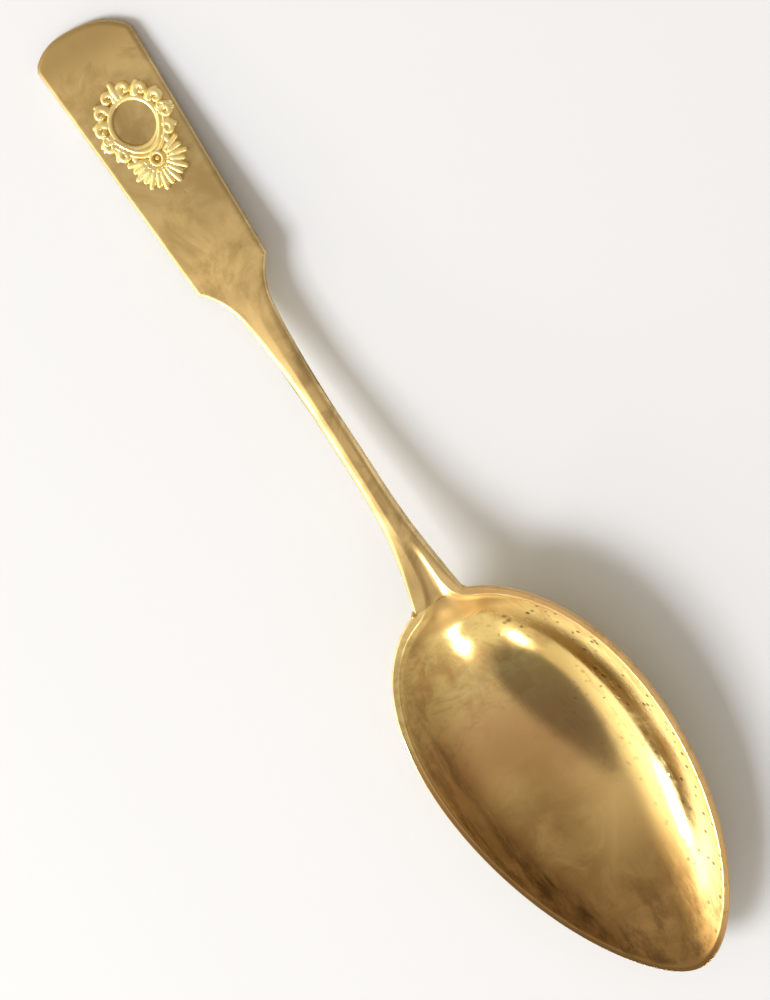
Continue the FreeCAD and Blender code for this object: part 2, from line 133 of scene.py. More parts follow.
# The hollow runs up out of the bowl into the neck as a narrowing throat, a little off the
# middle: place, half width, depth and sideways shift at each station. Past its two ends its
# surface is lifted clear of the metal.
THROAT = np.array([
    (69.5, 0.55, 0.00, 0.50),
    (72.0, 0.80, 0.22, 0.55),
    (74.5, 0.95, 0.45, 0.50),
    (77.0, 1.30, 0.68, 0.35),
    (78.7, 2.00, 0.92, 0.22),
    (80.0, 3.40, 1.30, 0.08),
    (82.0, 5.50, 2.10, 0.00),
    (84.0, 7.40, 3.20, 0.00),
    (88.0, 8.00, 0.00, 0.00),
])
THROAT_LIFT = 1.5

# badge: its middle on the terminal, the open field's radius, and the fan's boss
BADGE_X = 12.7
BADGE_Y = 0.4
FIELD = 2.6
SPRAY_X = 4.75

# badge scrolls: the band and their seats lie outside the field, and angles are in radians
BAND_OUT = 0.34
BAND_HALF = 0.38
SCROLL_SIZES = (0.84, 0.8, 0.84, 0.8, 0.7)
SCROLL_START = 0.31
SCROLL_STEP = 0.49
SCROLL_SEAT = 1.36
SCROLL_EYE = 0.22

# badge fan: rays, beads and boss lie round SPRAY_X, and angles are in degrees
RAYS = 15
RAY_SPREAD = 106
LONG_RAY = 3.45
SHORT_RAY = 3.1
BEADS = 9
BEAD_SPREAD = 100
BEAD_RING = 1.42
BOSS_RING = 0.74
SWAG_SPREAD = 80

# badge relief: grid step, depth of its root in the plate, and thickness below that
BADGE_STEP = 0.05
BADGE_ROOT = -0.12
BADGE_BACK = 0.08

# mesh counts
FACE_COLUMNS = 71
EDGE_COLUMNS = 7
DROP_ROWS = 40
BOWL_COLUMNS = 560
BOWL_POLE = (106.0, 0.0)


# ---------------------------------------------------------------- small maths

def smooth_step(low, high, value):
    share = np.clip((value - low) / (high - low), 0, 1)
    return share * share * (3 - 2 * share)


def smooth_min(first, second, blend):
    """The lower of two heights, with the crease between them rounded."""
    near = np.maximum(blend - np.abs(first - second), 0) / blend
    return np.minimum(first, second) - near * near * blend / 4


def round_over(distance, radius):
    """How far a rounded edge has dropped at a distance in from the outline."""
    inside = np.clip(radius - distance, 0, radius)
    return radius - np.sqrt(radius * radius - inside * inside)


def soft_abs(value, blend):
    """Distance from zero, with the corner at zero rounded."""
    return np.sqrt(value * value + blend * blend) - blend


def arc_height(x, start, start_slope, end):
    """Height along the arc that leaves start at a slope and passes end."""
    run, rise = end[0] - start[0], end[1] - start[1]
    heading = math.atan(start_slope)
    half_turn = math.atan2(rise, run) - heading
    radius = math.hypot(run, rise) / (2 * math.sin(half_turn))
    centre_x = start[0] - radius * math.sin(heading)
    centre_z = start[1] + radius * math.cos(heading)
    reach = np.clip(radius * radius - (x - centre_x) ** 2, 0, None)
    return centre_z - math.copysign(1, radius) * np.sqrt(reach)


def arc_end_slope(start, start_slope, end):
    """The slope with which that arc arrives at its end."""
    chord = math.atan2(end[1] - start[1], end[0] - start[0])
    return math.tan(2 * chord - math.atan(start_slope))


def chain_height(x, points):
    """A straight run and then two arcs, each tangent to what comes before it."""
    end, shoulder, bend, seam = points
    slope = (shoulder[1] - end[1]) / (shoulder[0] - end[0])
    bend_slope = arc_end_slope(shoulder, slope, bend)
    straight = end[1] + slope * (x - end[0])
    lower = arc_height(x, shoulder, slope, bend)
    upper = arc_height(x, bend, bend_slope, seam)
    return np.where(x < shoulder[0], straight, np.where(x < bend[0], lower, upper))


def hermite(t, span, start, start_slope, end, end_slope):
    """A smooth curve between two values that leaves and arrives at given slopes."""
    return (
        start * (1 + 2 * t) * (1 - t) ** 2 + span * start_slope * t * (1 - t) ** 2
        + end * t * t * (3 - 2 * t) + span * end_slope * t * t * (t - 1)
    )


def smooth_through(x, places, values):
    """A smooth curve through given values, flat beyond the first and last."""
    slopes = np.gradient(values, places)
    slopes[0] = slopes[-1] = 0.0
    index = np.clip(np.searchsorted(places, x) - 1, 0, len(places) - 2)
    span = places[index + 1] - places[index]
    t = np.clip((x - places[index]) / span, 0, 1)
    return hermite(t, span, values[index], slopes[index], values[index + 1], slopes[index + 1])


def slope_at(height, place, step=0.05):
    """The slope of a height function at one place."""
    return float(height(place + step) - height(place - step)) / (2 * step)


# ---------------------------------------------------------------- bowl surfaces

def along_bowl(x):
    """Place along the bowl: -1 where its oval starts and 1 at its tip."""
    return (2 * x - BOWL_START - LENGTH) / (LENGTH - BOWL_START)


def oval_fullness(v):
    return sum(factor * v ** power for power, factor in enumerate(OVAL_FULLNESS))


def oval_square(x):
    """The square of the oval's half width; it goes smoothly negative past its ends."""
    v = along_bowl(x)
    return HALF_BOWL ** 2 * (1 - v * v) * oval_fullness(v)


def oval_distance(x, y):
    """Distance in from the oval's outline, good near the outline."""
    step = 0.01
    slope = (oval_square(x + step) - oval_square(x - step)) / (2 * step)
    return (oval_square(x) - y * y) / np.sqrt(slope * slope + 4 * y * y + 1e-9)


def rim_height(x):
    """The rim's height: it falls to the tip and sags a little between."""
    share = (along_bowl(x) + 1) / 2
    return HEEL_RIM + (TIP_RIM - HEEL_RIM) * share - 4 * RIM_SAG * share * (1 - share)


def outside_height(x, y):
    """The bowl's outside: fullest below its walls, and deeper towards its heel."""
    v = along_bowl(x)
    lean = 1 + DEPTH_LEAN * v
    share = lean * ((1 - v * v) - (y / HALF_BOWL) ** 2 / oval_fullness(v))
    fall = share * (WALL_FULLNESS - (WALL_FULLNESS - 1) * share)
    return rim_height(x) - RIM_EDGE - BOWL_DROP * fall


def inside_height(x, y):
    """The bowl's inside, one sheet's thickness in from its outside."""
    step = 0.01
    slope_x = (outside_height(x + step, y) - outside_height(x - step, y)) / (2 * step)
    slope_y = (outside_height(x, y + step) - outside_height(x, y - step)) / (2 * step)
    return outside_height(x, y) + SHEET * np.sqrt(1 + slope_x ** 2 + slope_y ** 2)


def throat_height(x, y, land):
    """The hollow of the throat, cut below the land it runs through."""
    stations, widths, depths, shifts = THROAT.T
    half = smooth_through(x, stations, widths)
    depth = smooth_through(x, stations, depths)
    shift = smooth_through(x, stations, shifts)
    lift = np.interp(x, stations[-2:], (0.0, THROAT_LIFT))
    channel = land + lift - depth * (1 - ((y - shift) / half) ** 2)
    return np.where(x < stations[0], land + THROAT_LIFT, channel)


def crest_height(x):
    """The handle's top along its middle."""
    return chain_height(x, TOP_LINE)


def spine_height(x):
    """The land's height, from the handle's top over the neck to the bowl's rim."""
    span = NECK_TO - NECK_FROM
    bridge = hermite(
        np.clip((x - NECK_FROM) / span, 0, 1), span,
        float(crest_height(NECK_FROM)), slope_at(crest_height, NECK_FROM),
        float(rim_height(NECK_TO)), slope_at(rim_height, NECK_TO),
    )
    outer = np.where(x < NECK_FROM, crest_height(np.minimum(x, NECK_TO)), rim_height(x))
    return np.where((x < NECK_FROM) | (x > NECK_TO), outer, bridge)


def bowl_top(x, y):
    """Rim land, inner wall and throat in one surface."""
    land = spine_height(x)
    hollow = smooth_min(inside_height(x, y), throat_height(x, y, land), HOLLOW_BLEND)
    surface = smooth_min(land, hollow, LIP_BLEND)
    edge = np.maximum(oval_distance(x, y), (SEAM_X + SEAM_LAND - x) * (np.abs(y) < SEAM_HALF))
    return surface - round_over(edge, RIM_ROUND)


# ---------------------------------------------------------------- handle surfaces

def handle_half(x):
    """Half the handle's width: tapered terminal, hollow shoulder, slim stem, flare."""
    plate = END_HALF + (SHOULDER_HALF - END_HALF) * (x - END_SAGITTA) / (SHOULDER_X - END_SAGITTA)
    # the taper and the shoulder's hollow are arcs worked out backwards, from the waist
    waist = (-WAIST_X, WAIST_HALF)
    turn = (-HOLLOW_X, HOLLOW_HALF)
    taper = arc_height(-x, waist, 0.0, turn)
    hollow = arc_height(-x, turn, arc_end_slope(waist, 0.0, turn), (-SHOULDER_X, SHOULDER_HALF))
    flare = arc_height(x, (FLARE_X, WAIST_HALF), 0.0, (SEAM_X, SEAM_HALF))
    stem = np.where(x < HOLLOW_X, hollow, np.where(x < WAIST_X, taper, WAIST_HALF))
    stem = np.where(x > FLARE_X, flare, stem)
    return np.where(x < SHOULDER_X, plate, stem)


def end_curve(share):
    """Where the terminal's hand-filed end lies at a signed share of its half width."""
    reach = np.abs(share)
    lowest = (END_SKEW / END_POWER / END_SAGITTA) ** (1 / (END_POWER - 1))
    apex = END_SKEW * lowest - END_SAGITTA * lowest ** END_POWER
    corner = CORNER_ROUND * smooth_step(0.93, 1.0, reach)
    return END_SAGITTA * reach ** END_POWER + END_SKEW * share + apex + corner


def edge_distance(x, y):
    """Distance in from the handle's outline, along its sides and round its end."""
    step = 0.05
    slope = (handle_half(x + step) - handle_half(x - step)) / (2 * step)
    side = (handle_half(x) - np.abs(y)) / np.sqrt(1 + slope * slope)
    share, nudge = y / END_HALF, 0.01
    lean = (end_curve(share + nudge) - end_curve(share - nudge)) / (2 * nudge * END_HALF)
    end = (x - end_curve(share)) / np.sqrt(1 + lean * lean)
    return np.minimum(side, end)


def edge_round(x):
    """Radius of the top's rounded edge: softest along the stem, nearly sharp at the seam."""
    places = (32.0, 40.0, 50.0, 68.0, 74.0, SEAM_X)
    return np.interp(x, places, (0.55, 0.75, 0.95, 0.95, 0.6, 0.25))


def handle_top(x, y):
    """A flat terminal, a stem with a ridge and two facets, and the throat at the neck."""
    half = handle_half(x)
    crest = spine_height(x)
    pillow = PILLOW * (y / half) ** 2 * (1 - smooth_step(SHOULDER_X, WAIST_X, x))
    roof = np.interp(x, (37.0, 50.0, 68.0, 77.0), (0.0, RIDGE, RIDGE, 0.0))
    land = crest - pillow - roof * soft_abs(y, RIDGE_BLEND) / half
    return smooth_min(land, throat_height(x, y, crest), LIP_BLEND)


def handle_under(x, y):
    """The underside: flat below the terminal, bellied below the stem, and the drop's at the seam."""
    half = handle_half(x)
    belly = np.interp(x, (35.0, 50.0, 70.0, SEAM_X), (0.0, 0.6, 0.7, SEAM_BELLY))
    plain = chain_height(x, UNDER_LINE) + belly * (y / half) ** 2
    at_seam = UNDER_LINE[-1][1] + SEAM_BELLY * (y / half) ** 2
    meet = drop_under(np.full_like(x, SEAM_X), y, np.zeros_like(x), y / half) - at_seam
    return plain + meet * smooth_step(73.0, SEAM_X, x)


def drop_under(x, y, reach, share):
    """Underside of the tongue: it follows the bowl and thins towards its tip."""
    crown = 1 - DROP_CROWN * share ** 2
    thickness = DROP_THIN + (DROP_THICK - DROP_THIN) * (1 - reach ** 2) * crown
    return outside_height(x, y) - FILM - thickness


def drop_half(reach):
    """Half the tongue's width, from the seam at 0 to its tip at 1."""
    return SEAM_HALF * (1 - DROP_NARROWING * reach ** 2)


# ---------------------------------------------------------------- mesh building

def add_mesh(name, points, faces, body="root"):
    mesh = bpy.data.meshes.new(name)
    mesh.from_pydata([tuple(point) for point in to_frame(points)], [], faces)
    mesh.validate()
    mesh.update()
    mesh.polygons.foreach_set("use_smooth", [True] * len(mesh.polygons))
    piece = bpy.data.objects.new(name, mesh)
    bpy.context.scene.collection.objects.link(piece)
    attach(piece, body)
    return piece


def close_plate(top, under, wall_steps=3):
    """A closed mesh from two matching grids of points, joined by a wall round the edge."""
    rows, columns = top.shape[:2]
    points = [top.reshape(-1, 3), under.reshape(-1, 3)]
    offset = rows * columns
    faces = []
    for row in range(rows - 1):
        for column in range(columns - 1):
            corner = row * columns + column
            quad = (corner, corner + columns, corner + columns + 1, corner + 1)
            faces.append(quad)
            faces.append(tuple(index + offset for index in reversed(quad)))
    border = [(0, column) for column in range(columns)]
    border += [(row, columns - 1) for row in range(1, rows)]
    border += [(rows - 1, column) for column in range(columns - 2, -1, -1)]
    border += [(row, 0) for row in range(rows - 2, 0, -1)]
    loops = [[row * columns + column for row, column in border]]
    start = 2 * offset
    upper = np.array([top[place] for place in border])
    lower = np.array([under[place] for place in border])
    for step in range(1, wall_steps):
        share = step / wall_steps
        points.append(upper * (1 - share) + lower * share)
        loops.append([start + index for index in range(len(border))])
        start += len(border)
    loops.append([index + offset for index in loops[0]])
    for first, second in zip(loops, loops[1:]):
        for index in range(len(border)):
            following = (index + 1) % len(border)
            faces.append((first[index], first[following], second[following], second[index]))
    return np.concatenate(points), faces


def section_points(half, radius):
    """Places across a section: evenly over its face, then round the edge at each side."""
    turns = np.linspace(0, math.pi / 2, EDGE_COLUMNS + 1)[1:]
    flat = half - radius
    right = flat + radius * np.sin(turns)
    return np.concatenate([-right[::-1], flat * np.linspace(-1, 1, FACE_COLUMNS), right])


def handle_rows(seam_end):
    """Rows of points on the top and the underside, from the terminal's end to the seam."""
    # the rows lie closest at the end, where the shoulders turn in and along the throat
    stations = np.concatenate([
        [0, 0.01, 0.04, 0.09, 0.15, 0.22, 0.32, 0.5, 0.8],
        np.arange(1.2, 32.8, 0.5),
        np.linspace(32.9, 33.7, 17),
        np.arange(33.8, 46, 0.15),
        np.arange(46, 70, 0.3),
        np.linspace(70, seam_end - 0.01, 96),
        [seam_end],
    ])
    bend = 1 - smooth_step(0.0, 7.0, stations)
    top_rows, under_rows = [], []
    for station, share in zip(stations, bend):
        half = float(handle_half(station))
        radius = float(edge_round(station))
        across = section_points(half, radius)
        x = station + share * end_curve(across / half)
        y = across / half * handle_half(x)
        distance = np.maximum(edge_distance(x, y), 0)
        upper = handle_top(x, y) - round_over(distance, radius)
        lower = handle_under(x, y) + round_over(distance, min(radius, UNDER_ROUND))
        top_rows.append(np.stack([x, y, upper], axis=1))
        under_rows.append(np.stack([x, y, lower], axis=1))
    return top_rows, under_rows


def drop_rows(seam_end):
    """Rows of points on the tongue's top and underside, from the seam to its tip."""
    across = section_points(1.0, 0.06)
    top_rows, under_rows = [], []
    for reach in np.linspace(0, 1, DROP_ROWS) ** 0.9:
        x = seam_end + reach * (DROP_REACH - seam_end) * (1 - DROP_POINT * across ** 2)
        y = across * drop_half(reach)
        lap = outside_height(x, y) - FILM
        edge = np.minimum((1 - np.abs(across)) * SEAM_HALF, (1 - reach) * DROP_TIP_RUN)
        under = drop_under(x, y, np.full_like(x, reach), across) + round_over(edge, DROP_ROUND)
        top_rows.append(np.stack([x, y, lap], axis=1))
        under_rows.append(np.stack([x, y, np.minimum(under, lap - DROP_LEAST)], axis=1))
    return top_rows, under_rows


def build_handle():
    seam_end = SEAM_X + FILM / 2
    top_rows, under_rows = handle_rows(seam_end)
    drop_top, drop_bottom = drop_rows(seam_end)
    points, faces = close_plate(np.array(top_rows + drop_top), np.array(under_rows + drop_bottom))
    piece = add_mesh("handle_forged", points, faces)
    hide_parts("handle")
    return piece


def bowl_outline(count):
    """The oval from one corner of the heel, round the tip, to the other, then across."""
    start = SEAM_X + FILM / 2
    first = math.acos((BOWL_MIDDLE - start) / HALF_BOWL)
    turns = np.linspace(first, 2 * math.pi - first, 4000)
    x = BOWL_MIDDLE - HALF_BOWL * np.cos(turns)
    y = np.sign(np.sin(turns)) * np.sqrt(np.maximum(oval_square(x), 0))
    heel = np.linspace(y[-1], y[0], 60)[1:-1]
    x = np.concatenate([x, np.full_like(heel, start)])
    y = np.concatenate([y, heel])
    gaps = np.hypot(np.diff(x, append=x[0]), np.diff(y, append=y[0]))
    run = np.concatenate([[0], np.cumsum(gaps)])
    places = np.linspace(0, run[-1], count, endpoint=False)
    return (
        np.interp(places, run, np.append(x, x[0])),
        np.interp(places, run, np.append(y, y[0])),
    )


def ring_faces(rings, count, flip=False):
    """Faces between each ring of points and the next."""
    faces = []
    for ring in range(rings - 1):
        for index in range(count):
            following = (index + 1) % count
            a = ring * count + index
            b = ring * count + following
            quad = (a, b, b + count, a + count)
            faces.append(quad[::-1] if flip else quad)
    return faces


def closed_rings(rings, count):
    """Faces between rings, closed at each end by a fan to a pole; the poles come after them."""
    faces = ring_faces(rings, count)
    first_pole, last_pole = rings * count, rings * count + 1
    last = (rings - 1) * count
    for index in range(count):
        following = (index + 1) % count
        faces.append((first_pole, following, index))
        faces.append((last_pole, last + index, last + following))
    return faces


def bowl_rings():
    """Rings in plan from the outline in to the pole: close together at the rim, then even."""
    outline = np.stack(bowl_outline(BOWL_COLUMNS), axis=1)
    along = np.roll(outline, -1, axis=0) - np.roll(outline, 1, axis=0)
    along /= np.linalg.norm(along, axis=1)[:, None]
    inward = np.stack([-along[:, 1], along[:, 0]], axis=1)
    ray = np.array(BOWL_POLE) - outline
    length = np.linalg.norm(ray, axis=1)[:, None]
    ray /= length
    facing = np.abs((inward * ray).sum(axis=1))[:, None]
    near = np.array([
        0, 0.006, 0.022, 0.05, 0.09, 0.14, 0.2, 0.3, 0.45, 0.6, 0.7, 0.78, 0.84, 0.9, 0.96, 1.02,
        1.08, 1.15, 1.25, 1.4, 1.6, 1.9, 2.3, 2.8,
    ])
    reaches = [step / facing for step in near]
    last = reaches[-1]
    for share in np.linspace(0, 1, 44)[1:-1]:
        reaches.append(last + (length - last) * share)
    return [outline + ray * reach for reach in reaches]


def bowl_surface(rings, height):
    return np.array([
        np.stack([ring[:, 0], ring[:, 1], height(ring[:, 0], ring[:, 1])], axis=1)
        for ring in rings
    ])


def build_bowl():
    rings = bowl_rings()
    inner = bowl_surface(rings, bowl_top)
    outer = bowl_surface(rings, outside_height)
    outer[:, :, 2] = np.maximum(outer[:, :, 2], 0.0)
    walls = [inner[0] * (1 - share) + outer[0] * share for share in (0.33, 0.66)]
    loops = np.concatenate([inner[::-1], walls, outer])
    pole_x, pole_y = np.array([BOWL_POLE]).T
    poles = [
        [*BOWL_POLE, max(float(height(pole_x, pole_y)[0]), 0.0)]
        for height in (bowl_top, outside_height)
    ]
    points = np.concatenate([loops.reshape(-1, 3), poles])
    piece = add_mesh("bowl_shell", points, closed_rings(len(loops), BOWL_COLUMNS))
    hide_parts("bowl")
    return piece


# ---------------------------------------------------------------- badge

def stroke(points, radius, height):
    """A line of points with a half width and a height at each; one number does for all."""
    points = np.asarray(points, dtype=float)
    count = len(points)
    return points, np.broadcast_to(radius, count), np.broadcast_to(height, count)


def polar(angle, radius):
    return np.stack([radius * np.cos(angle), radius * np.sin(angle)], axis=-1)


def spiral(centre, start, turn, first, last, count=22):
    """A curl that winds from its outer radius in to its eye."""
    share = np.linspace(0, 1, count)
    radius = first + (last - first) * share
    return np.asarray(centre) + polar(start + turn * share, radius)


def relief_height(u, v, strokes):
    """The highest of all the domed strokes at each place, or the root depth."""
    height = np.full(u.shape, BADGE_ROOT)
    for points, radii, tops in strokes:
        pad = radii.max() * 1.1
        low, high = points.min(axis=0) - pad, points.max(axis=0) + pad
        near = (u > low[0]) & (u < high[0]) & (v > low[1]) & (v < high[1])
        if not near.any():
            continue
        here = np.stack([u[near], v[near]], axis=1)
        best = np.full(len(here), BADGE_ROOT)
        for index in range(len(points) - 1):
            following = index + 1
            a, ab = points[index], points[following] - points[index]
            along = np.clip(((here - a) @ ab) / max(ab @ ab, 1e-9), 0, 1)
            gap = np.linalg.norm(here - a - along[:, None] * ab, axis=1)
            radius = radii[index] * (1 - along) + radii[following] * along
            top = tops[index] * (1 - along) + tops[following] * along
            dome = 1 - (gap / radius) ** 2
            value = np.where(dome > 0, top * np.sqrt(np.maximum(dome, 0)), BADGE_ROOT)
            best = np.maximum(best, value)
        height[near] = np.maximum(height[near], best)
    return height


def widened(keep):
    """The marked places of a grid, and the places next to them."""
    wider = keep.copy()
    wider[1:] |= keep[:-1]
    wider[:-1] |= keep[1:]
    wider[:, 1:] |= keep[:, :-1]
    wider[:, :-1] |= keep[:, 1:]
    return wider


def relief_faces(cells, columns, offset):
    """Top and back faces of the marked cells, and walls wherever a cell has no neighbour."""
    last_row, last_column = cells.shape[0] - 1, cells.shape[1] - 1
    faces = []
    for row, column in np.argwhere(cells):
        corner = row * columns + column
        quad = (corner, corner + columns, corner + columns + 1, corner + 1)
        faces.append(quad)
        faces.append(tuple(index + offset for index in reversed(quad)))
        sides = (
            (row > 0 and cells[row - 1, column], quad[0], quad[3]),
            (row < last_row and cells[row + 1, column], quad[2], quad[1]),
            (column > 0 and cells[row, column - 1], quad[1], quad[0]),
            (column < last_column and cells[row, column + 1], quad[3], quad[2]),
        )
        for joined, first, second in sides:
            if not joined:
                faces.append((first, second, second + offset, first + offset))
    return faces


def relief_piece(name, node, strokes):
    """A closed relief on the terminal's face, from strokes laid on a fine grid."""
    points = np.concatenate([item[0] for item in strokes])
    low, high = points.min(axis=0) - 0.6, points.max(axis=0) + 0.6
    us = np.arange(low[0], high[0], BADGE_STEP)
    vs = np.arange(low[1], high[1], BADGE_STEP)
    u, v = np.meshgrid(us, vs, indexing="ij")
    height = relief_height(u, v, strokes)
    keep = widened(widened(height > BADGE_ROOT))
    cells = keep[:-1, :-1] & keep[1:, :-1] & keep[1:, 1:] & keep[:-1, 1:]
    slope = (SHOULDER_TOP - END_TOP) / SHOULDER_X
    x, y = BADGE_X + u, BADGE_Y + v
    ground = END_TOP + slope * x
    top = np.stack([x - slope * height, y, ground + height], axis=-1)
    under = np.stack([x, y, ground + BADGE_ROOT - BADGE_BACK], axis=-1)
    faces = relief_faces(cells, u.shape[1], u.size)
    used = np.unique(np.concatenate([np.array(face) for face in faces]))
    order = {int(old): new for new, old in enumerate(used)}
    every = np.concatenate([top.reshape(-1, 3), under.reshape(-1, 3)])
    faces = [tuple(order[int(index)] for index in face) for face in faces]
    piece = add_mesh(name, every[used], faces)
    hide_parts(node)
    return piece


def frame_strokes():
    """An open field inside a round band, with plump scrolls and buds all round it."""
    strokes = []
    ring = np.linspace(0, 2 * math.pi, 73)
    strokes.append(stroke(polar(ring, FIELD + BAND_OUT), BAND_HALF, 0.42))
    for side in (-1, 1):
        for number, size in enumerate(SCROLL_SIZES):
            angle = math.pi - side * (SCROLL_START + SCROLL_STEP * number)
            seat = polar(np.array(angle), FIELD + SCROLL_SEAT)
            curl = spiral(seat, angle + side * 2.4, -side * 5.0, size, SCROLL_EYE)
            thick = np.linspace(0.52, 0.36, len(curl))
            strokes.append(stroke(curl, thick, np.linspace(0.5, 0.62, len(curl))))
            gap = angle - side * 0.25
            bud = polar(np.array([gap, gap - side * 0.03, gap - side * 0.1]), 1.0)
            bud = bud * np.array([[FIELD + 0.6], [FIELD + 1.5], [FIELD + 2.15]])
            strokes.append(stroke(bud, [0.4, 0.46, 0.36], [0.42, 0.46, 0.4]))
    crown = [[-FIELD - 0.7, 0], [-FIELD - 1.5, 0.0], [-FIELD - 2.35, 0]]
    strokes.append(stroke(crown, [0.4, 0.62, 0.42], [0.6, 0.66, 0.5]))
    return strokes


def fan_strokes(hub):
    """Rays, long and short in turn, about a beaded boss."""
    strokes = []
    for number in range(RAYS):
        angle = math.radians(-RAY_SPREAD + 2 * RAY_SPREAD * number / (RAYS - 1))
        reach = LONG_RAY if number % 2 == 0 else SHORT_RAY
        path = hub + polar(np.array(angle), 1.0) * np.array([[1.3], [0.6 * reach], [reach]])
        strokes.append(stroke(path, [0.3, 0.44, 0.36], [0.42, 0.52, 0.44]))
    for number in range(BEADS):
        turn = math.radians(-BEAD_SPREAD + 2 * BEAD_SPREAD * number / (BEADS - 1))
        bead = hub + polar(np.array(turn), BEAD_RING)
        strokes.append(stroke([bead, bead + 0.005], 0.27, 0.54))
    boss = np.linspace(0, 2 * math.pi, 25)
    strokes.append(stroke(hub + polar(boss, BOSS_RING), 0.3, 0.56))
    strokes.append(stroke([hub, hub + 0.005], 0.3, 0.5))
    return strokes


def swag_strokes():
    """A two-stranded swag below the field, with a fold and a curl at each end."""
    strokes = []
    sweep = np.radians(np.linspace(-SWAG_SPREAD, SWAG_SPREAD, 45))
    dip = 0.22 * np.cos(3 * sweep)
    for lift, radius, height in ((0.05, 0.33, 0.56), (0.6, 0.3, 0.5)):
        strokes.append(stroke(polar(sweep, FIELD + 0.62 + lift + dip), radius, height))
    for side in (-1, 1):
        root = polar(np.array(side * sweep[-1]), FIELD + 0.85)
        fold = root + np.array([[0, 0], [-0.3, side * 0.65], [0.25, side * 1.45]])
        strokes.append(stroke(fold, [0.46, 0.42, 0.24], [0.56, 0.5, 0.34]))
        curl = spiral(root + [-0.6, side * 0.35], side * 0.6, side * 4.2, 0.6, 0.18)
        strokes.append(stroke(curl, 0.26, 0.55))
    return strokes


# ---------------------------------------------------------------- solder

def tube(path, radii, sides=12):
    """A closed tube of changing thickness along a path."""
    path = np.asarray(path, dtype=float)
    ahead = np.gradient(path, axis=0)
    ahead /= np.linalg.norm(ahead, axis=1)[:, None]
    across = np.cross(ahead, (0.0, 0.0, 1.0) + 0.01 * ahead)
    across /= np.linalg.norm(across, axis=1)[:, None] + 1e-9
    up = np.cross(across, ahead)
    turns = np.linspace(0, 2 * math.pi, sides, endpoint=False)
    radii = np.asarray(radii)[:, None, None]
    ring = np.cos(turns)[:, None] * across[:, None] + np.sin(turns)[:, None] * up[:, None]
    points = (path[:, None] + radii * ring).reshape(-1, 3)
    faces = ring_faces(len(path), sides, flip=True)
    faces.append(tuple(range(sides)))
    faces.append(tuple(reversed(range(len(points) - sides, len(points)))))
    return points, faces


def blob(centre, radii, seed, rings=14, sides=20):
    """A lumpy closed bead of metal."""
    random = np.random.default_rng(seed)
    wobble = random.uniform(0.1, 0.25, 3)
    phase = random.uniform(0, 6, 3)
    lift = np.linspace(-math.pi / 2, math.pi / 2, rings + 2)[1:-1]
    turn = np.linspace(0, 2 * math.pi, sides, endpoint=False)
    lift, turn = np.meshgrid(lift, turn, indexing="ij")
    ways = np.stack([np.cos(lift) * np.cos(turn), np.cos(lift) * np.sin(turn), np.sin(lift)], -1)
    ways = np.concatenate([ways.reshape(-1, 3), [[0, 0, -1], [0, 0, 1]]])
    swell = 1 + (wobble * np.sin(3.1 * ways + phase)).sum(axis=1)[:, None]
    points = np.asarray(centre) + ways * swell * np.asarray(radii)
    return points, closed_rings(rings, sides)


def seam_film():
    """The film between the handle and the heel, just below their surface."""
    across = np.linspace(-1, 1, 61)
    top_rows, under_rows = [], []
    for x in np.linspace(SEAM_X, SEAM_X + FILM, 5):
        y = across * (SEAM_HALF - 0.12)
        place = np.full_like(y, x)
        high = np.minimum(handle_top(place, y), bowl_top(place, y))
        top_rows.append(np.stack([place, y, high - 0.03], axis=1))
        under_rows.append(np.stack([place, y, outside_height(place, y) - 0.5], axis=1))
    return close_plate(np.array(top_rows), np.array(under_rows))


def drop_bead():
    """An uneven bead from one neck corner down round the tongue and up to the other."""
    reach = np.linspace(0, 1, 30)
    side_x = SEAM_X + reach * (DROP_REACH - SEAM_X) * (1 - DROP_POINT)
    side_y = drop_half(reach)
    tip = np.linspace(-1, 1, 41)[1:-1]
    tip_x = SEAM_X + (DROP_REACH - SEAM_X) * (1 - DROP_POINT * tip ** 2)
    x = np.concatenate([side_x, tip_x, side_x[::-1]])
    y = np.concatenate([-side_y, tip * side_y[-1], side_y[::-1]])
    z = outside_height(x, y) - FILM - 0.12
    left = [[SEAM_X + 0.1, -SEAM_HALF - 0.05, HEEL_RIM - 0.75]]
    right = [[SEAM_X + 0.2, SEAM_HALF - 0.25, HEEL_RIM - 1.1]]
    path = np.concatenate([left, np.stack([x, y, z], axis=1), right])
    waver = np.random.default_rng(5).normal(0, 1, len(path))
    return tube(path, 0.3 + 0.07 * np.convolve(waver, [0.25, 0.5, 0.25], "same"))


def build_neck_solder():
    """A flush film in the seam, a bead round the tongue and lumps at the neck's corners."""
    shells = (
        seam_film(),
        drop_bead(),
        blob((SEAM_X + 0.1, -SEAM_HALF - 0.1, HEEL_RIM - 0.75), (0.42, 0.5, 0.55), 2),
        blob((SEAM_X + 0.6, -SEAM_HALF - 0.55, HEEL_RIM - 0.75), (0.35, 0.3, 0.3), 3),
        blob((SEAM_X + 0.2, SEAM_HALF - 0.25, HEEL_RIM - 0.95), (0.4, 0.35, 0.4), 4),
    )
    points, faces = [], []
    for shell_points, shell_faces in shells:
        start = sum(len(group) for group in points)
        points.append(shell_points)
        faces += [tuple(index + start for index in face) for face in shell_faces]
    piece = add_mesh("neck_solder_joint", np.concatenate(points), faces)
    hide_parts("neck_solder")
    return piece


# ---------------------------------------------------------------- materials

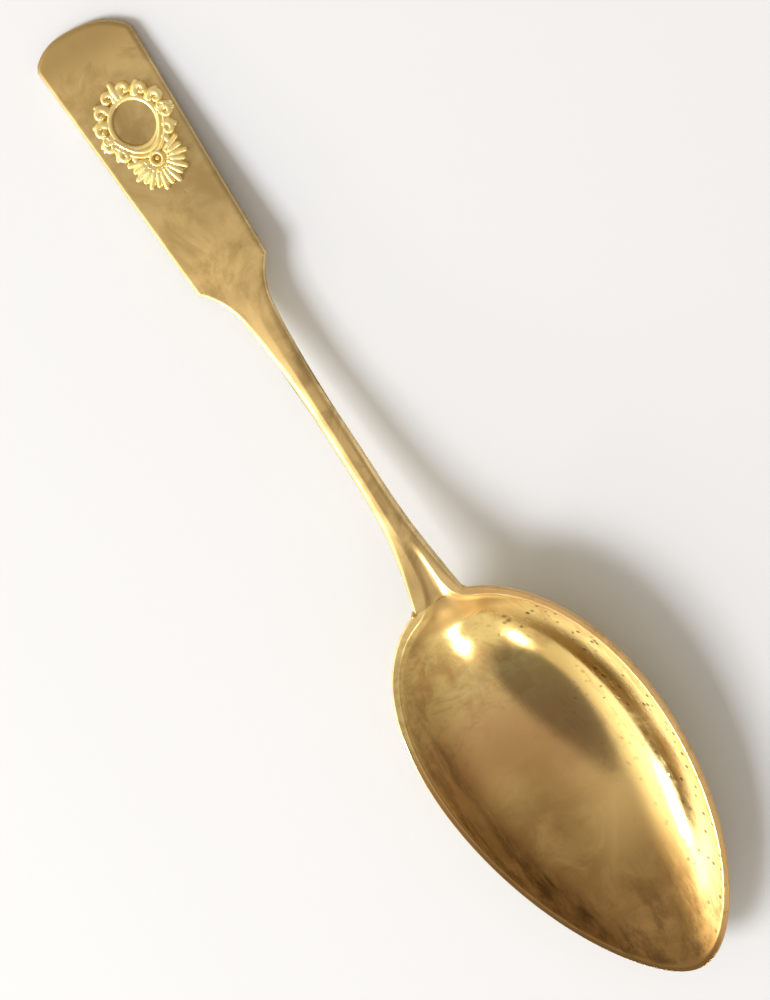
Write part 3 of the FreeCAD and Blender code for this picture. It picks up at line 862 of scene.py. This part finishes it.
class Nodes:
    """A material's node tree, with the few kinds of node these metals need."""

    def __init__(self, name):
        self.material = bpy.data.materials.new(name)
        self.material.use_nodes = True
        self.tree = self.material.node_tree
        self.shader = self.tree.nodes["Principled BSDF"]
        self.place = self.tree.nodes.new("ShaderNodeTexCoord").outputs["Object"]

    def link(self, source, target):
        self.tree.links.new(source, target)

    def fill(self, target, value):
        """Set a socket to a number or colour, or link another node's output to it."""
        if isinstance(value, (int, float)):
            target.default_value = value
        elif isinstance(value, tuple):
            target.default_value = (*value, 1)
        else:
            self.link(value, target)

    def stretched(self, scale, turn):
        """Places drawn out along one way, for streaks and scratches."""
        node = self.tree.nodes.new("ShaderNodeMapping")
        node.inputs["Scale"].default_value = scale
        node.inputs["Rotation"].default_value = (0, 0, turn)
        self.link(self.place, node.inputs["Vector"])
        return node.outputs["Vector"]

    def noise(self, scale, detail=4.0, rough=0.55, vector=None, twist=0.0):
        node = self.tree.nodes.new("ShaderNodeTexNoise")
        node.inputs["Scale"].default_value = scale
        node.inputs["Detail"].default_value = detail
        node.inputs["Roughness"].default_value = rough
        node.inputs["Distortion"].default_value = twist
        self.link(vector or self.place, node.inputs["Vector"])
        return node.outputs["Fac"]

    def cells(self, scale):
        node = self.tree.nodes.new("ShaderNodeTexVoronoi")
        node.inputs["Scale"].default_value = scale
        self.link(self.place, node.inputs["Vector"])
        return node.outputs["Distance"]

    def axis(self, name):
        node = self.tree.nodes.new("ShaderNodeSeparateXYZ")
        self.link(self.place, node.inputs["Vector"])
        return node.outputs[name]

    def from_middle(self):
        """How far out a place lies in the bowl's oval, squared: 0 in its middle, 1 at its rim."""
        node = self.tree.nodes.new("ShaderNodeMapping")
        node.vector_type = "TEXTURE"
        middle = float(to_frame([BOWL_MIDDLE, 0, 0])[0])
        node.inputs["Location"].default_value = (middle, 0, 0)
        node.inputs["Scale"].default_value = (HALF_BOWL * MM, HALF_BOWL * MM, 1)
        self.link(self.place, node.inputs["Vector"])
        parts = self.tree.nodes.new("ShaderNodeSeparateXYZ")
        self.link(node.outputs["Vector"], parts.inputs["Vector"])
        along, across = parts.outputs["X"], parts.outputs["Y"]
        fullness = self.plus(self.times(along, OVAL_FULLNESS[1]), OVAL_FULLNESS[0])
        share = self.maths("DIVIDE", self.times(across, across), fullness)
        return self.plus(self.times(along, along), share)

    def ramp(self, value, stops):
        node = self.tree.nodes.new("ShaderNodeMapRange")
        node.interpolation_type = "SMOOTHSTEP"
        low, high, first, last = stops
        node.inputs["From Min"].default_value = low
        node.inputs["From Max"].default_value = high
        node.inputs["To Min"].default_value = first
        node.inputs["To Max"].default_value = last
        self.link(value, node.inputs["Value"])
        return node.outputs["Result"]

    def fade(self, axis, low, high, first, last):
        """A ramp by place: millimetres along the spoon (X), across it (Y) or up (Z)."""
        origin = END_X if axis == "X" else 0.0
        return self.ramp(self.axis(axis), (origin + low * MM, origin + high * MM, first, last))

    def maths(self, kind, first, second):
        node = self.tree.nodes.new("ShaderNodeMath")
        node.operation = kind
        self.fill(node.inputs[0], first)
        self.fill(node.inputs[1], second)
        return node.outputs["Value"]

    def times(self, first, second):
        return self.maths("MULTIPLY", first, second)

    def plus(self, first, second):
        return self.maths("ADD", first, second)

    def larger(self, first, second):
        return self.maths("MAXIMUM", first, second)

    def mix(self, share, first, second):
        node = self.tree.nodes.new("ShaderNodeMix")
        node.data_type = "RGBA"
        self.fill(node.inputs["Factor"], share)
        self.fill(node.inputs["A"], first)
        self.fill(node.inputs["B"], second)
        return node.outputs["Result"]

    def bump(self, height, distance, strength, under=None):
        node = self.tree.nodes.new("ShaderNodeBump")
        node.inputs["Strength"].default_value = strength
        node.inputs["Distance"].default_value = distance
        self.link(height, node.inputs["Height"])
        if under is not None:
            self.link(under, node.inputs["Normal"])
        return node.outputs["Normal"]


# colours of the gilding, of the tarnish and dirt on it, and of the shade and sheen painted on it
GILT = (0.86, 0.63, 0.27)
# a paler gilt, partly the badge's brighter finish and partly a painted sheen of the window it faces
CREAM_GILT = (1.0, 0.86, 0.44)
# a brighter gilt, laid on the bowl as a painted sheen
SHEEN_GILT = (1.0, 0.84, 0.40)
SOFT_GILT = (0.93, 0.71, 0.35)
# brown for tarnish and dirt, and for the painted shade on the bowl
BROWN = (0.33, 0.195, 0.07)
SOOT = (0.10, 0.055, 0.02)
# the handle's tarnish colour, also its painted shade by the terminal's end
DUSK = (0.38, 0.27, 0.115)
OLIVE = (0.52, 0.42, 0.21)
COPPER = (0.66, 0.40, 0.19)


def gilt_material(name, tarnish_and_shade, tint, rough, scratches=0.5, pits=0.3, metal=GILT, dirt_and_shade=BROWN,
                  sheen=None, marks=None, dullness=None):
    """Old gilding: tarnished patches, patches of painted shade, a painted sheen where one is given,
    hairline scratches, pits and a wavy polish.
    """
    nodes = Nodes(name)
    nodes.shader.inputs["Metallic"].default_value = 1.0
    cloudy = nodes.noise(160, 6, 0.62, twist=0.6)
    broad = nodes.noise(48, 3, 0.5)
    colour = nodes.mix(nodes.ramp(broad, (0.42, 0.66, 0.0, 0.75)), metal, tint)
    # a painted sheen, where one is given, brightens the gilding first
    if sheen:
        colour = sheen(nodes, colour)
    # this mask lays tarnish and painted shade alike, both in the darker colour that also fills the
    # pits
    stain_and_shade = tarnish_and_shade(nodes, cloudy)
    colour = nodes.mix(stain_and_shade, colour, dirt_and_shade)
    if marks:
        colour = nodes.mix(marks(nodes), colour, SOOT)
    lines = nodes.noise(1.0, 3, 0.6, nodes.stretched((260, 5200, 900), 0.06))
    cross = nodes.noise(1.0, 2, 0.6, nodes.stretched((2100, 330, 500), -0.5))
    pit = nodes.times(
        nodes.ramp(nodes.cells(620), (0.14, 0.05, 0.0, 1.0)),
        nodes.ramp(nodes.noise(190, 3), (0.56, 0.62, 0.0, 1.0)),
    )
    colour = nodes.mix(nodes.times(pit, pits), colour, dirt_and_shade)
    nodes.link(colour, nodes.shader.inputs["Base Color"])
    polish = nodes.ramp(nodes.noise(95, 5, 0.6), (0.3, 0.7, rough * 0.75, rough * 1.4))
    scuff = nodes.times(nodes.ramp(lines, (0.55, 0.75, 0.0, 1.0)), 0.07)
    total = nodes.plus(nodes.plus(polish, nodes.times(stain_and_shade, 0.16)), scuff)
    if dullness:
        total = nodes.plus(total, dullness(nodes))
    nodes.link(total, nodes.shader.inputs["Roughness"])
    wave = nodes.bump(nodes.noise(150, 2, 0.5), 0.00006, 0.16)
    grain = nodes.bump(lines, 0.000004, scratches, wave)
    nicks = nodes.bump(cross, 0.000003, scratches * 0.7, grain)
    hollow = nodes.bump(nodes.maths("SUBTRACT", 1.0, pit), 0.00002, 0.5, nicks)
    nodes.link(hollow, nodes.shader.inputs["Normal"])
    return nodes.material


def bowl_dullness(nodes):
    """Less polish on the wall up to the rim by +y and where the throat opens."""
    wall = nodes.times(
        nodes.ramp(nodes.from_middle(), (0.52, 0.80, 0.0, 0.34)),
        nodes.fade("Y", 1.0, 6.0, 0.0, 1.0),
    )
    return nodes.larger(wall, nodes.fade("X", 85.0, 81.5, 0.0, 0.26))


def bowl_sheen_and_streaks(nodes, colour):
    """A painted reflection of the room's bright side: brighter gilt on the wall by +y and in patches
    round the heel; then copper streaks on that wall and a copper band on its land.
    """
    # painted reflection: the +y wall lightened as if showing the bright side of the room, and the
    # heel in noisy patches
    side = nodes.fade("Y", 3.0, 9.0, 0.0, 0.9)
    heel = nodes.fade("X", 104.0, 86.0, 0.0, 1.0)
    heel_sheen_patches = nodes.ramp(nodes.noise(300, 5, 0.62, twist=0.7), (0.34, 0.60, 0.25, 1.0))
    bright = nodes.mix(nodes.larger(side, nodes.times(heel, heel_sheen_patches)), colour, SHEEN_GILT)
    stripes = nodes.noise(1.0, 4, 0.6, nodes.stretched((130, 900, 300), -0.25))
    thin = nodes.times(nodes.ramp(stripes, (0.52, 0.68, 0.0, 0.55)), side)
    land = nodes.times(
        nodes.ramp(nodes.from_middle(), (0.895, 0.925, 0.0, 0.7)),
        nodes.fade("Y", -2.0, 4.0, 0.0, 1.0),
    )
    return nodes.mix(nodes.larger(thin, land), bright, COPPER)


def bowl_stain_and_shade(nodes, cloudy):
    """Dull and brown along the side by -y and in the tip, partly tarnished and partly painted shade
    of the room's dim side; painted shade deepening down into the throat; and tarnished patches
    elsewhere.
    """
    # partly tarnish, partly painted shade: the -y wall and the tip darken where they reflect the dim
    # side of the room
    side = nodes.times(
        nodes.fade("Y", 4.0, -7.0, 0.0, 0.95),
        nodes.fade("X", 94.0, 118.0, 0.1, 1.0),
    )
    tip = nodes.times(
        nodes.fade("X", 112.0, 130.0, 0.0, 0.95),
        nodes.fade("Y", 8.0, 2.0, 0.3, 1.0),
    )
    base = nodes.times(nodes.larger(side, tip), nodes.ramp(cloudy, (0.3, 0.6, 0.7, 1.0)))
    patch = nodes.ramp(cloudy, (0.45, 0.7, 0.0, 0.45))
    # painted shade, deepening the lower the throat's surface lies
    throat = nodes.times(
        nodes.fade("Z", 9.6, 8.9, 0.0, 0.75),
        nodes.fade("X", 84.5, 82.0, 0.0, 1.0),
    )
    return nodes.larger(throat, nodes.larger(base, patch))


def bowl_marks(nodes):
    """Dark grime in broken streaks under the rim by -y and in the tip, and specks by +y."""
    out = nodes.from_middle()
    band = nodes.times(
        nodes.ramp(out, (0.52, 0.70, 0.0, 1.0)),
        nodes.ramp(out, (0.91, 0.86, 0.0, 1.0)),
    )
    below = nodes.times(
        nodes.fade("Y", -1.0, -7.0, 0.0, 1.0),
        nodes.fade("X", 88.0, 110.0, 0.3, 1.0),
    )
    low = nodes.times(band, below)
    tip = nodes.times(
        nodes.fade("X", 120.0, 136.0, 0.0, 0.75),
        nodes.ramp(out, (0.93, 0.89, 0.0, 1.0)),
    )
    streaks = nodes.noise(1.0, 7, 0.72, nodes.stretched((80, 520, 520), 0.3))
    grime = nodes.times(nodes.ramp(streaks, (0.40, 0.66, 0.0, 0.85)), nodes.larger(low, tip))
    dots = nodes.times(
        nodes.ramp(nodes.cells(850), (0.30, 0.18, 0.0, 0.8)),
        nodes.ramp(nodes.noise(210, 3), (0.46, 0.53, 0.0, 1.0)),
    )
    where = nodes.times(
        nodes.fade("Y", 1.0, 7.0, 0.15, 1.0),
        nodes.ramp(out, (0.35, 0.6, 0.3, 1.0)),
    )
    inside = nodes.ramp(out, (0.93, 0.89, 0.15, 1.0))
    return nodes.larger(grime, nodes.times(dots, nodes.times(where, inside)))


def handle_stain_and_shade(nodes, cloudy):
    """A patchy tarnished film over the whole handle, and painted shade that darkens it more towards
    the terminal's end.
    """
    # painted shade, darkening the last few millimetres towards the terminal's end
    end = nodes.fade("X", 9.0, 2.0, 0.0, 0.8)
    patch = nodes.ramp(cloudy, (0.38, 0.66, 0.08, 0.75))
    return nodes.larger(end, patch)


def badge_tarnish(nodes, cloudy):
    return nodes.ramp(cloudy, (0.5, 0.75, 0.0, 0.35))


def solder_tarnish(nodes, cloudy):
    return nodes.ramp(cloudy, (0.35, 0.65, 0.1, 0.7))


# ---------------------------------------------------------------- make the spoon

handle = build_handle()
bowl = build_bowl()
badge_frame = relief_piece("badge_scrolls", "badge_frame", frame_strokes())
boss_place = np.array([SPRAY_X, 0.0])
badge_spray = relief_piece("badge_fan", "badge_spray", fan_strokes(boss_place) + swag_strokes())
neck_solder = build_neck_solder()

handle_metal = gilt_material(
    "aged_gilt_handle", handle_stain_and_shade, OLIVE, 0.34, metal=SOFT_GILT, dirt_and_shade=DUSK,
)
bowl_metal = gilt_material(
    "polished_gilt_bowl", bowl_stain_and_shade, COPPER, 0.09, scratches=0.7, pits=0.9,
    sheen=bowl_sheen_and_streaks, marks=bowl_marks, dullness=bowl_dullness,
)
# the badge's paler gilt is partly its own brighter finish and partly a painted sheen of the light it
# catches
badge_metal = gilt_material(
    "bright_gilt_badge", badge_tarnish, CREAM_GILT, 0.4, scratches=0.2, pits=0.1, metal=CREAM_GILT,
)
solder_metal = gilt_material(
    "dull_solder", solder_tarnish, COPPER, 0.32, scratches=0.2, pits=0.6,
)
handle.data.materials.append(handle_metal)
bowl.data.materials.append(bowl_metal)
badge_frame.data.materials.append(badge_metal)
badge_spray.data.materials.append(badge_metal)
neck_solder.data.materials.append(solder_metal)
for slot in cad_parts["badge_solder"].material_slots:
    slot.material = solder_metal


# ---------------------------------------------------------------- stage, light, camera

# the place below the bowl that every lamp faces
LIT_PLACE = Vector(to_frame([100.0, 0.0, 0.0]))


def pale_floor(half=3.0):
    mesh = bpy.data.meshes.new("floor")
    corners = [(-half, -half, 0), (half, -half, 0), (half, half, 0), (-half, half, 0)]
    mesh.from_pydata(corners, [], [(0, 1, 2, 3)])
    floor = bpy.data.objects.new("floor", mesh)
    bpy.context.scene.collection.objects.link(floor)
    nodes = Nodes("pale_floor")
    nodes.shader.inputs["Roughness"].default_value = 0.75
    nodes.shader.inputs["Base Color"].default_value = (0.70, 0.75, 0.84, 1)
    mesh.materials.append(nodes.material)


def warm_room():
    """A soft warm room, brighter by -y, dimmer by +y, with one darker stretch of wall."""
    world = bpy.data.worlds.new("room")
    bpy.context.scene.world = world
    world.use_nodes = True
    tree = world.node_tree
    way = tree.nodes.new("ShaderNodeTexCoord").outputs["Generated"]

    def facing(direction, low, high, first, last):
        """How nearly a ray of light comes from a direction, ramped from first to last."""
        dot = tree.nodes.new("ShaderNodeVectorMath")
        dot.operation = "DOT_PRODUCT"
        tree.links.new(way, dot.inputs[0])
        dot.inputs[1].default_value = Vector(direction).normalized()
        spread = tree.nodes.new("ShaderNodeMapRange")
        spread.interpolation_type = "SMOOTHSTEP"
        spread.inputs["From Min"].default_value = low
        spread.inputs["From Max"].default_value = high
        spread.inputs["To Min"].default_value = first
        spread.inputs["To Max"].default_value = last
        tree.links.new(dot.outputs["Value"], spread.inputs["Value"])
        return spread.outputs["Result"]

    def mixed(share, first, second):
        node = tree.nodes.new("ShaderNodeMix")
        node.data_type = "RGBA"
        tree.links.new(share, node.inputs["Factor"])
        for name, value in (("A", first), ("B", second)):
            if isinstance(value, tuple):
                node.inputs[name].default_value = (*value, 1)
            else:
                tree.links.new(value, node.inputs[name])
        return node.outputs["Result"]

    colour = mixed(facing((0.1, -1, 0.1), -0.7, 0.5, 0, 1), (0.36, 0.27, 0.18), (0.80, 0.68, 0.48))
    colour = mixed(facing((0, 0, 1), 0.3, 0.75, 0, 1), colour, (0.64, 0.56, 0.46))
    colour = mixed(facing((-0.1, -1, 0.22), 0.66, 0.95, 0, 1), colour, (2.1, 1.85, 1.4))
    colour = mixed(facing((0.62, -0.42, 0.62), 0.95, 0.975, 0, 0.75), colour, (0.10, 0.09, 0.08))
    tree.links.new(colour, tree.nodes["Background"].inputs["Color"])
    tree.nodes["Background"].inputs["Strength"].default_value = 1.0


def soft_light(name, azimuth, elevation, distance, size, power, colour, sparkle=True):
    """A lamp at an azimuth and elevation, in degrees, as seen from the bowl. A sparkle lamp
    shows only in reflections, and any other lights only dull surfaces."""
    data = bpy.data.lights.new(name, "AREA")
    data.shape = "RECTANGLE"
    data.size, data.size_y = size
    data.energy = power
    data.color = colour
    lamp = bpy.data.objects.new(name, data)
    bpy.context.scene.collection.objects.link(lamp)
    turn, lift = math.radians(azimuth), math.radians(elevation)
    way = Vector((math.cos(turn) * math.cos(lift), math.sin(turn) * math.cos(lift), math.sin(lift)))
    lamp.location = LIT_PLACE + way * distance
    lamp.rotation_euler = way.to_track_quat("Z", "Y").to_euler()
    lamp.visible_diffuse = not sparkle
    lamp.visible_glossy = sparkle


pale_floor()
warm_room()
soft_light("window", -75, 15, 1.2, (0.07, 0.09), 14, (1, 0.95, 0.86))
soft_light("lamp_ahead", -8, 22, 1.2, (0.025, 0.15), 2.5, (1, 0.93, 0.80))
soft_light("lamp_between", -35, 18, 1.2, (0.05, 0.04), 0.8, (1, 0.90, 0.74))
soft_light("softbox", -100, 48, 1.4, (0.6, 0.6), 16, (1, 0.98, 0.95), sparkle=False)
bpy.context.scene.view_settings.view_transform = "Standard"

# The camera looks steeply down on the spoon from beside its terminal, which lies at the top
# left of the view, with the bowl's tip at the bottom right.
camera_data = bpy.data.cameras.new("camera")
camera = bpy.data.objects.new("camera", camera_data)
bpy.context.scene.collection.objects.link(camera)
bpy.context.scene.camera = camera
camera_data.lens = 72.65
camera_data.sensor_width = 36
camera.location = (-0.06226, 0.0713, 0.2298)
camera.rotation_euler = [math.radians(angle) for angle in (-21.202, 6.794, 56.205)]
